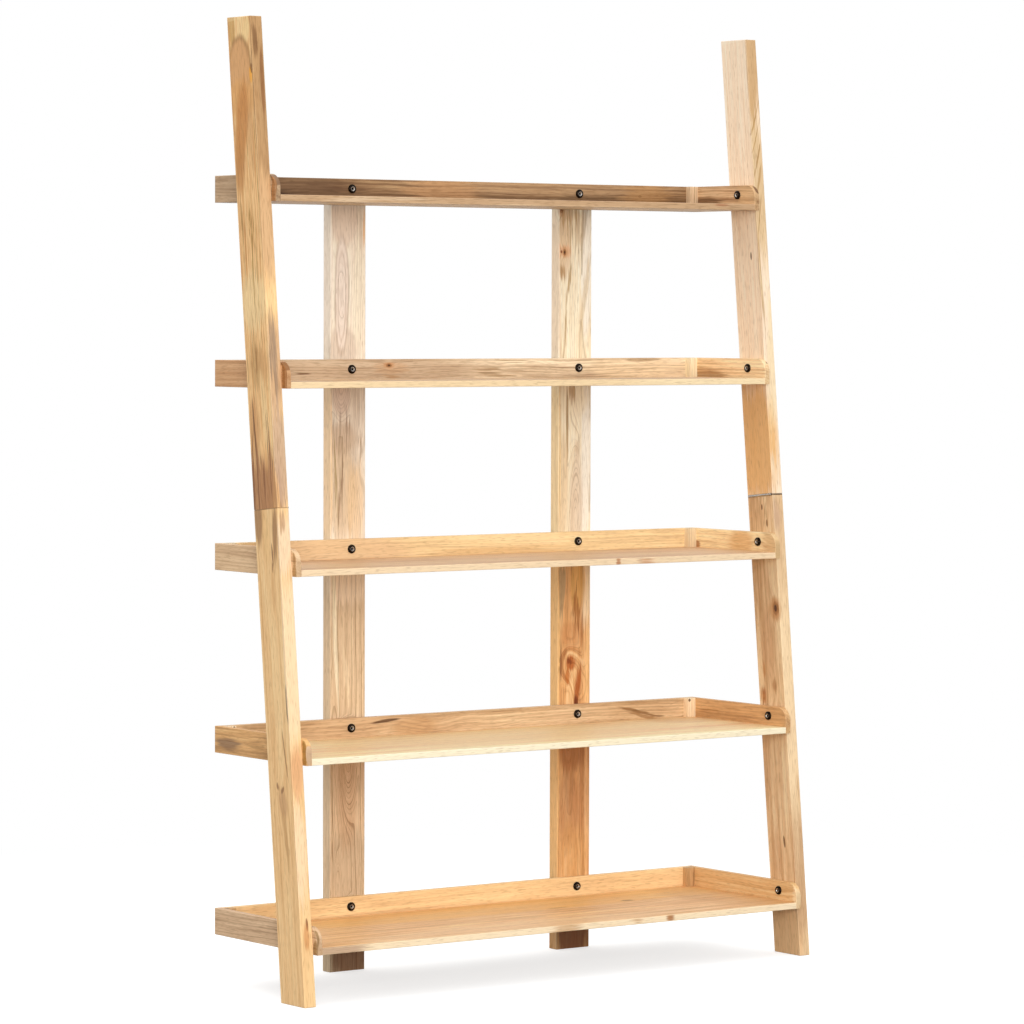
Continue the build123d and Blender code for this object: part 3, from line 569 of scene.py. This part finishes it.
# Tray walls: a mango board at each end of a tray, with its upper front corner rounded, glued to the floor's
# end and bolted to the leg. Places on a wall: X up from its middle, Y = -6 on the left face, Z to the back
wall_boards = {
    "tray_1_left_wall": dict(
        tones=("#d6b692", "#bf9f7c", "#a28060"), seed=6.9,
        marks=(
            ("#7d5c42", 0.8, (17, 0, -94), (4, 20, 16), 45, 0.4),  # dark rounded corner
            ("#a87444", 0.85, (-4, -6, -98), (40, 3, 8), 0, 0.5),  # brown front beside the leg, partly painted shade from the leg
        )),
    "tray_1_right_wall": dict(
        tones=("#eac69a", "#cca47a", "#966c46"), seed=7.9, veins=0.5, flecks=0.4,
        marks=(
            ("#6f4a2a", 0.8, (-14, -6, 60), (14, 12, 80), 0, 1.4),  # dark lower rear: painted shade behind the corner block
            ("#e0b684", 0.6, (0, -6, -80), (40, 12, 36), 0, 1.0),  # pale front
            ("#6f4826", 0.85, (18, 3, -94), (2, 5, 14), 45, 0.3),  # dark line on the rounded corner
        )),
    "tray_2_left_wall": dict(
        tones=("#e6b788", "#d8a778", "#c08c5f"), seed=9.8,
        marks=(
            ("#8a5a30", 0.85, (17, 0, -112), (4, 20, 14), 45, 0.4),  # dark rounded corner
            ("#9a622e", 0.85, (-4, -6, -116), (40, 3, 8), 0, 0.5),  # brown front beside the leg, partly painted shade from the leg
        )),
    "tray_2_right_wall": dict(
        tones=("#ffedc0", "#fad4a2", "#ca9e70"), seed=10.8, veins=0.25, flecks=0.3,
        marks=(
            ("#a5723e", 0.75, (-10, -6, 60), (14, 12, 60), 0, 1.6),  # brown lower rear
            ("#7a5026", 0.85, (17, 3, -112), (2, 5, 13), 45, 0.3),  # dark line on the rounded corner
        )),
    "tray_3_left_wall": dict(
        tones=("#f4d2a8", "#e4c096", "#cba57e"), seed=12.7,
        marks=(
            ("#a87c48", 0.8, (-4, -6, -133), (40, 3, 8), 0, 0.5),  # brown front beside the leg, partly painted shade from the leg
        )),
    "tray_3_right_wall": dict(
        tones=("#fff0c4", "#fde0ac", "#d2a878"), seed=13.7, veins=0.2, flecks=0.3,
        loops=(((10, -6, -80), (30, 30, 60), 10, 1),),
        marks=(
            ("#a9652c", 0.8, (-10, -6, 112), (9, 10, 12), 0, 1.2),  # red-brown patch
            ("#d9a263", 0.6, (0, -6, -30), (30, 12, 40), 0, 1.0),  # golden shade
            ("#dab482", 0.8, (4, 0, -130), (40, 20, 34), 0, 1.2),  # tan front
        )),
    "tray_4_left_wall": dict(
        tones=("#f6ca8c", "#e4b074", "#b88a58"), seed=15.6, veins=0.25, flecks=0.3,
        loops=(((0, -6, -20), (26, 30, 80), 9, 1),),
        marks=(
            ("#7f6048", 0.75, (-8, -6, 110), (14, 12, 46), 0, 1.2),  # grey-brown rear
            ("#b28450", 0.7, (-4, -6, 10), (10, 12, 40), 0, 2.6),  # brown shade
            ("#a07634", 0.85, (-2, -6, -150), (40, 3, 9), 0, 0.5),  # yellow-brown front beside the leg, partly painted shade from the leg
            ("#dcbc9c", 0.8, (-4, 2, -156), (22, 7, 5), 0, 0.3),  # pale end grain
        )),
    "tray_4_right_wall": dict(
        tones=("#ecc692", "#daa974", "#b48658"), seed=16.6, flecks=0.3,
        marks=(
            ("#a8743f", 0.85, (0, -6, 30), (20, 12, 120), 0, 5.0),  # brown dashes
        )),
    "tray_5_left_wall": dict(
        tones=("#e6c49d", "#d8b48e", "#bd9975"), seed=18.5, veins=0.4, flecks=0.4,
        marks=(
            ("#94703f", 0.8, (-4, -6, -168), (40, 3, 8), 0, 0.5),  # brown front beside the leg, partly painted shade from the leg
        )),
    "tray_5_right_wall": dict(
        tones=("#eccc98", "#e2b67e", "#c69a64"), seed=19.5, figure=(0.4, 0.6, 0.5), veins=0.1, flecks=0.15,
        marks=(
            ("#fde0b4", 0.7, (0, -6, -185), (40, 14, 22), 0, 0.6),  # pale front
        )),
}
for node, look in wall_boards.items():
    mango(node, (0, 1, 0), (0, 0, 1), pith=(90, 30), **look)

# Corner blocks: a short upright mango stick glued in each rear corner of a tray, to stiffen the joint of
# back and wall. Places on a block: X to the wall, Y to the back, Z up, the same on both sides of the shelf
block_width = 0.020
block_boards = (
    dict(tones=("#ecd0ac", "#d8b994", "#be9e78")),
    dict(tones=("#fbf2d0", "#f4e2bc", "#dfc6a0")),
    dict(tones=("#f2dcb8", "#e8d2ac", "#dac098")),
    dict(
        tones=("#fbe6c2", "#f6dab2", "#e2c298"),
        marks=(
            ("#5f3d22", 0.9, (-7, -6, 15), (3, 8, 3), 0, 0.4),  # pin knot near the top
        )),
    dict(tones=("#d8b080", "#c49c6c", "#8c6238")),
)
for number, look in enumerate(block_boards, 1):
    node = f"tray_{number}_corner_blocks"
    low, high = (Vector(corner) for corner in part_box(node))
    half = Vector((block_width / 2, (high.y - low.y) / 2, (high.z - low.z) / 2))
    mango(node, (0, 0, 1), (1, 0, 0), origin=high - half, low=-half * mm, high=half * mm, pith=(40, 20),
          veins=0.35, seed=number * 3.3, mirrored=True, **look)

# Connector bolts: black-nickelled steel with a domed head and a hexagon socket. In each tray two go through
# the back into the posts and one through each wall into a leg, so that the tray can be taken off. A bright
# ring round each socket is a painted highlight, for the light that the socket's chamfer catches.
head_radius, mottle_width = 0.0085, 0.001
post_middle = sum(corner[0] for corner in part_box("right_post_lower")) / 2
plating_and_painted_highlight = ((0.0, "#0c0a08"), (0.25, "#16110e"), (0.33, "#d6d2cd"), (0.45, "#aaa49d"), (0.56, "#2a221d"),
           (1.0, "#1c1612"))  # by share of the head's radius: socket, painted highlight round it, black dome
for number in range(1, 6):
    node = f"tray_{number}_bolts"
    low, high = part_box(node)
    height = (low[2] + high[2]) / 2
    leg_bolt = low[1] + head_radius  # the bolts into the legs stand furthest to the front
    nickel, tree = new_material(f"black_nickelled_steel_{number}")
    seat = add(tree, "TexCoord").outputs["Object"]
    # Dark and shiny, with faint mottling: 0.3 mm wide on a real head, drawn 1 mm wide here so that it shows
    mottle = add(tree, "TexNoise", {"Vector": seat, "Scale": 1 / mottle_width, "Detail": 3.0})
    from_post = add(tree, "VectorMath", [seat], operation="ABSOLUTE")
    from_post = add(tree, "VectorMath", [from_post, (1, 0, 1), (-post_middle, 0, -height)],
                    operation="MULTIPLY_ADD")
    from_leg = add(tree, "VectorMath", [seat, (0, 1, 1), (0, -leg_bolt, -height)], operation="MULTIPLY_ADD")
    radius = add(tree, "Math", [add(tree, "VectorMath", [from_post], operation="LENGTH"),
                                add(tree, "VectorMath", [from_leg], operation="LENGTH")], operation="MINIMUM")
    colour = add(tree, "ValToRGB", [add(tree, "Math", [radius, 1 / head_radius], operation="MULTIPLY")])
    for position, _ in plating_and_painted_highlight[1:-1]:
        colour.color_ramp.elements.new(position)
    for stop, (_, code) in zip(colour.color_ramp.elements, plating_and_painted_highlight):
        stop.color = linear(code)
    colour = add(tree, "Mix", {"Factor": 0.5, "A": colour, "B": mottle}, data_type="RGBA",
                 blend_type="OVERLAY")
    gloss = add(tree, "MapRange", [mottle, 0.3, 0.7, 0.2, 0.34])
    bump = add(tree, "Bump", {"Height": mottle, "Strength": 0.15, "Distance": 0.0002})
    feed(tree, tree.nodes["Principled BSDF"], {"Base Color": colour, "Roughness": gloss, "Normal": bump,
                                               "Metallic": 1.0})
    dress(node, nickel)

# Hinges and inserts: zinc-plated steel. A butt hinge is let into the joint of each leg and post, so that they
# fold for packing, and a threaded insert sits in the wood behind each bolt.
zinc, tree = new_material("zinc_plated_steel")
# Grey and satin, with clouds some 8 mm wide where the plating has dulled
clouds_in_a_metre = 120
seat = add(tree, "TexCoord").outputs["Object"]
cloud = add(tree, "TexNoise", {"Vector": seat, "Scale": clouds_in_a_metre, "Detail": 2.0})
colour = add(tree, "Mix", {"Factor": cloud, "A": linear("#8f8b86"), "B": linear("#cfccc7")}, data_type="RGBA")
gloss = add(tree, "MapRange", [cloud, 0.3, 0.7, 0.18, 0.32])
bump = add(tree, "Bump", {"Height": cloud, "Strength": 0.1, "Distance": 0.0002})
feed(tree, tree.nodes["Principled BSDF"], {"Base Color": colour, "Roughness": gloss, "Normal": bump,
                                           "Metallic": 1.0})
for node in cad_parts:
    if "_hinge_" in node or node.endswith("_inserts"):
        dress(node, zinc)

# Studio: a white paper floor that keeps the shelf's shadow, a white surround, and one large softbox
# from the front left that leaves the faces towards it about as bright as their colours are written.


def seen(tree):
    """1 where the camera sees a surface, straight or in a gloss, and 0 where it only lights others."""
    path = add(tree, "LightPath")
    to_view = path.outputs["Is Camera Ray"]
    for ray in ("Is Glossy Ray", "Is Transmission Ray"):
        to_view = add(tree, "Math", [to_view, path.outputs[ray]], operation="MAXIMUM")
    return to_view


scene = bpy.context.scene
floor_half, floor_drop = 60, 0.0003  # just below the feet, so that no faces coincide
corners = [(x * floor_half, y * floor_half, -floor_drop) for x, y in ((-1, -1), (1, -1), (1, 1), (-1, 1))]
mesh = bpy.data.meshes.new("studio_floor")
mesh.from_pydata(corners, [], [(0, 1, 2, 3)])
floor = bpy.data.objects.new("studio_floor", mesh)
scene.collection.objects.link(floor)
# White where it is seen, with the shadow near the shelf only, and a mid grey that throws little light back up
shadow_fades, shadow_ends = 0.9, 2.2  # metres from the shelf's middle
paper_glow = 0.68
paper, tree = new_material("white_paper")
to_view = seen(tree)
colour = add(tree, "Mix", {"Factor": to_view, "A": linear("#6a6866"), "B": linear("#c4c4c3")},
             data_type="RGBA")
shader = tree.nodes["Principled BSDF"]
feed(tree, shader, {"Base Color": colour, "Roughness": 0.9, "Specular IOR Level": 0.0})
glow = add(tree, "Emission", {"Strength": add(tree, "Math", [to_view, paper_glow], operation="MULTIPLY")})
near = add(tree, "AddShader", [shader, glow])
away = add(tree, "VectorMath", [add(tree, "TexCoord").outputs["Object"]], operation="LENGTH")
away = add(tree, "MapRange", [away, shadow_fades, shadow_ends, 0.0, 1.0], interpolation_type="SMOOTHSTEP")
away = add(tree, "Math", [away, to_view], operation="MULTIPLY")
surface = add(tree, "MixShader", [away, near, add(tree, "Emission")])
feed(tree, tree.nodes["Material Output"], {"Surface": surface})
mesh.materials.append(paper)

# The surround is white to the eye, and lights the shelf more from above than from the side
scene.world = bpy.data.worlds.new("studio")
scene.world.use_nodes = True
tree = scene.world.node_tree
rise = add(tree, "SeparateXYZ", [add(tree, "TexCoord").outputs["Generated"]]).outputs["Z"]
side_light, top_light = 0.36, 1.45
ambient = add(tree, "MapRange", [rise, 0.0, 1.0, side_light, top_light])
level = add(tree, "Mix", {"Factor": seen(tree), "A": ambient, "B": 1.0})
feed(tree, tree.nodes["Background"], {"Strength": level, "Color": (1, 1, 1, 1)})

lamp = bpy.data.lights.new("softbox", "AREA")
lamp.size = 4.0
lamp.energy = 545
softbox = bpy.data.objects.new("softbox", lamp)
softbox.location = (-4.63, -7.71, 2.0)
shelf_middle = Vector((0, 0, 0.9))
softbox.rotation_euler = (shelf_middle - softbox.location).to_track_quat("-Z", "Y").to_euler()
scene.collection.objects.link(softbox)

# The camera stands where the photograph was taken from: place in metres, angles in degrees
camera_place = (-5.1117, -6.9864, 1.2655)
yaw, pitch, roll = (math.radians(angle) for angle in (36.193, -2.559, 0.18))
camera = bpy.data.objects.new("camera", bpy.data.cameras.new("camera"))
camera.data.lens = 159.36
camera.data.sensor_width = 36
forward = Vector((math.sin(yaw) * math.cos(pitch), math.cos(yaw) * math.cos(pitch), math.sin(pitch)))
level_right = Vector((math.cos(yaw), -math.sin(yaw), 0))
level_up = level_right.cross(forward)
right = level_right * math.cos(roll) + level_up * math.sin(roll)
up = level_up * math.cos(roll) - level_right * math.sin(roll)
turn = Matrix((right, up, -forward)).transposed().to_4x4()
camera.matrix_world = Matrix.Translation(camera_place) @ turn
scene.collection.objects.link(camera)
scene.camera = camera
scene.view_settings.view_transform = "Standard"
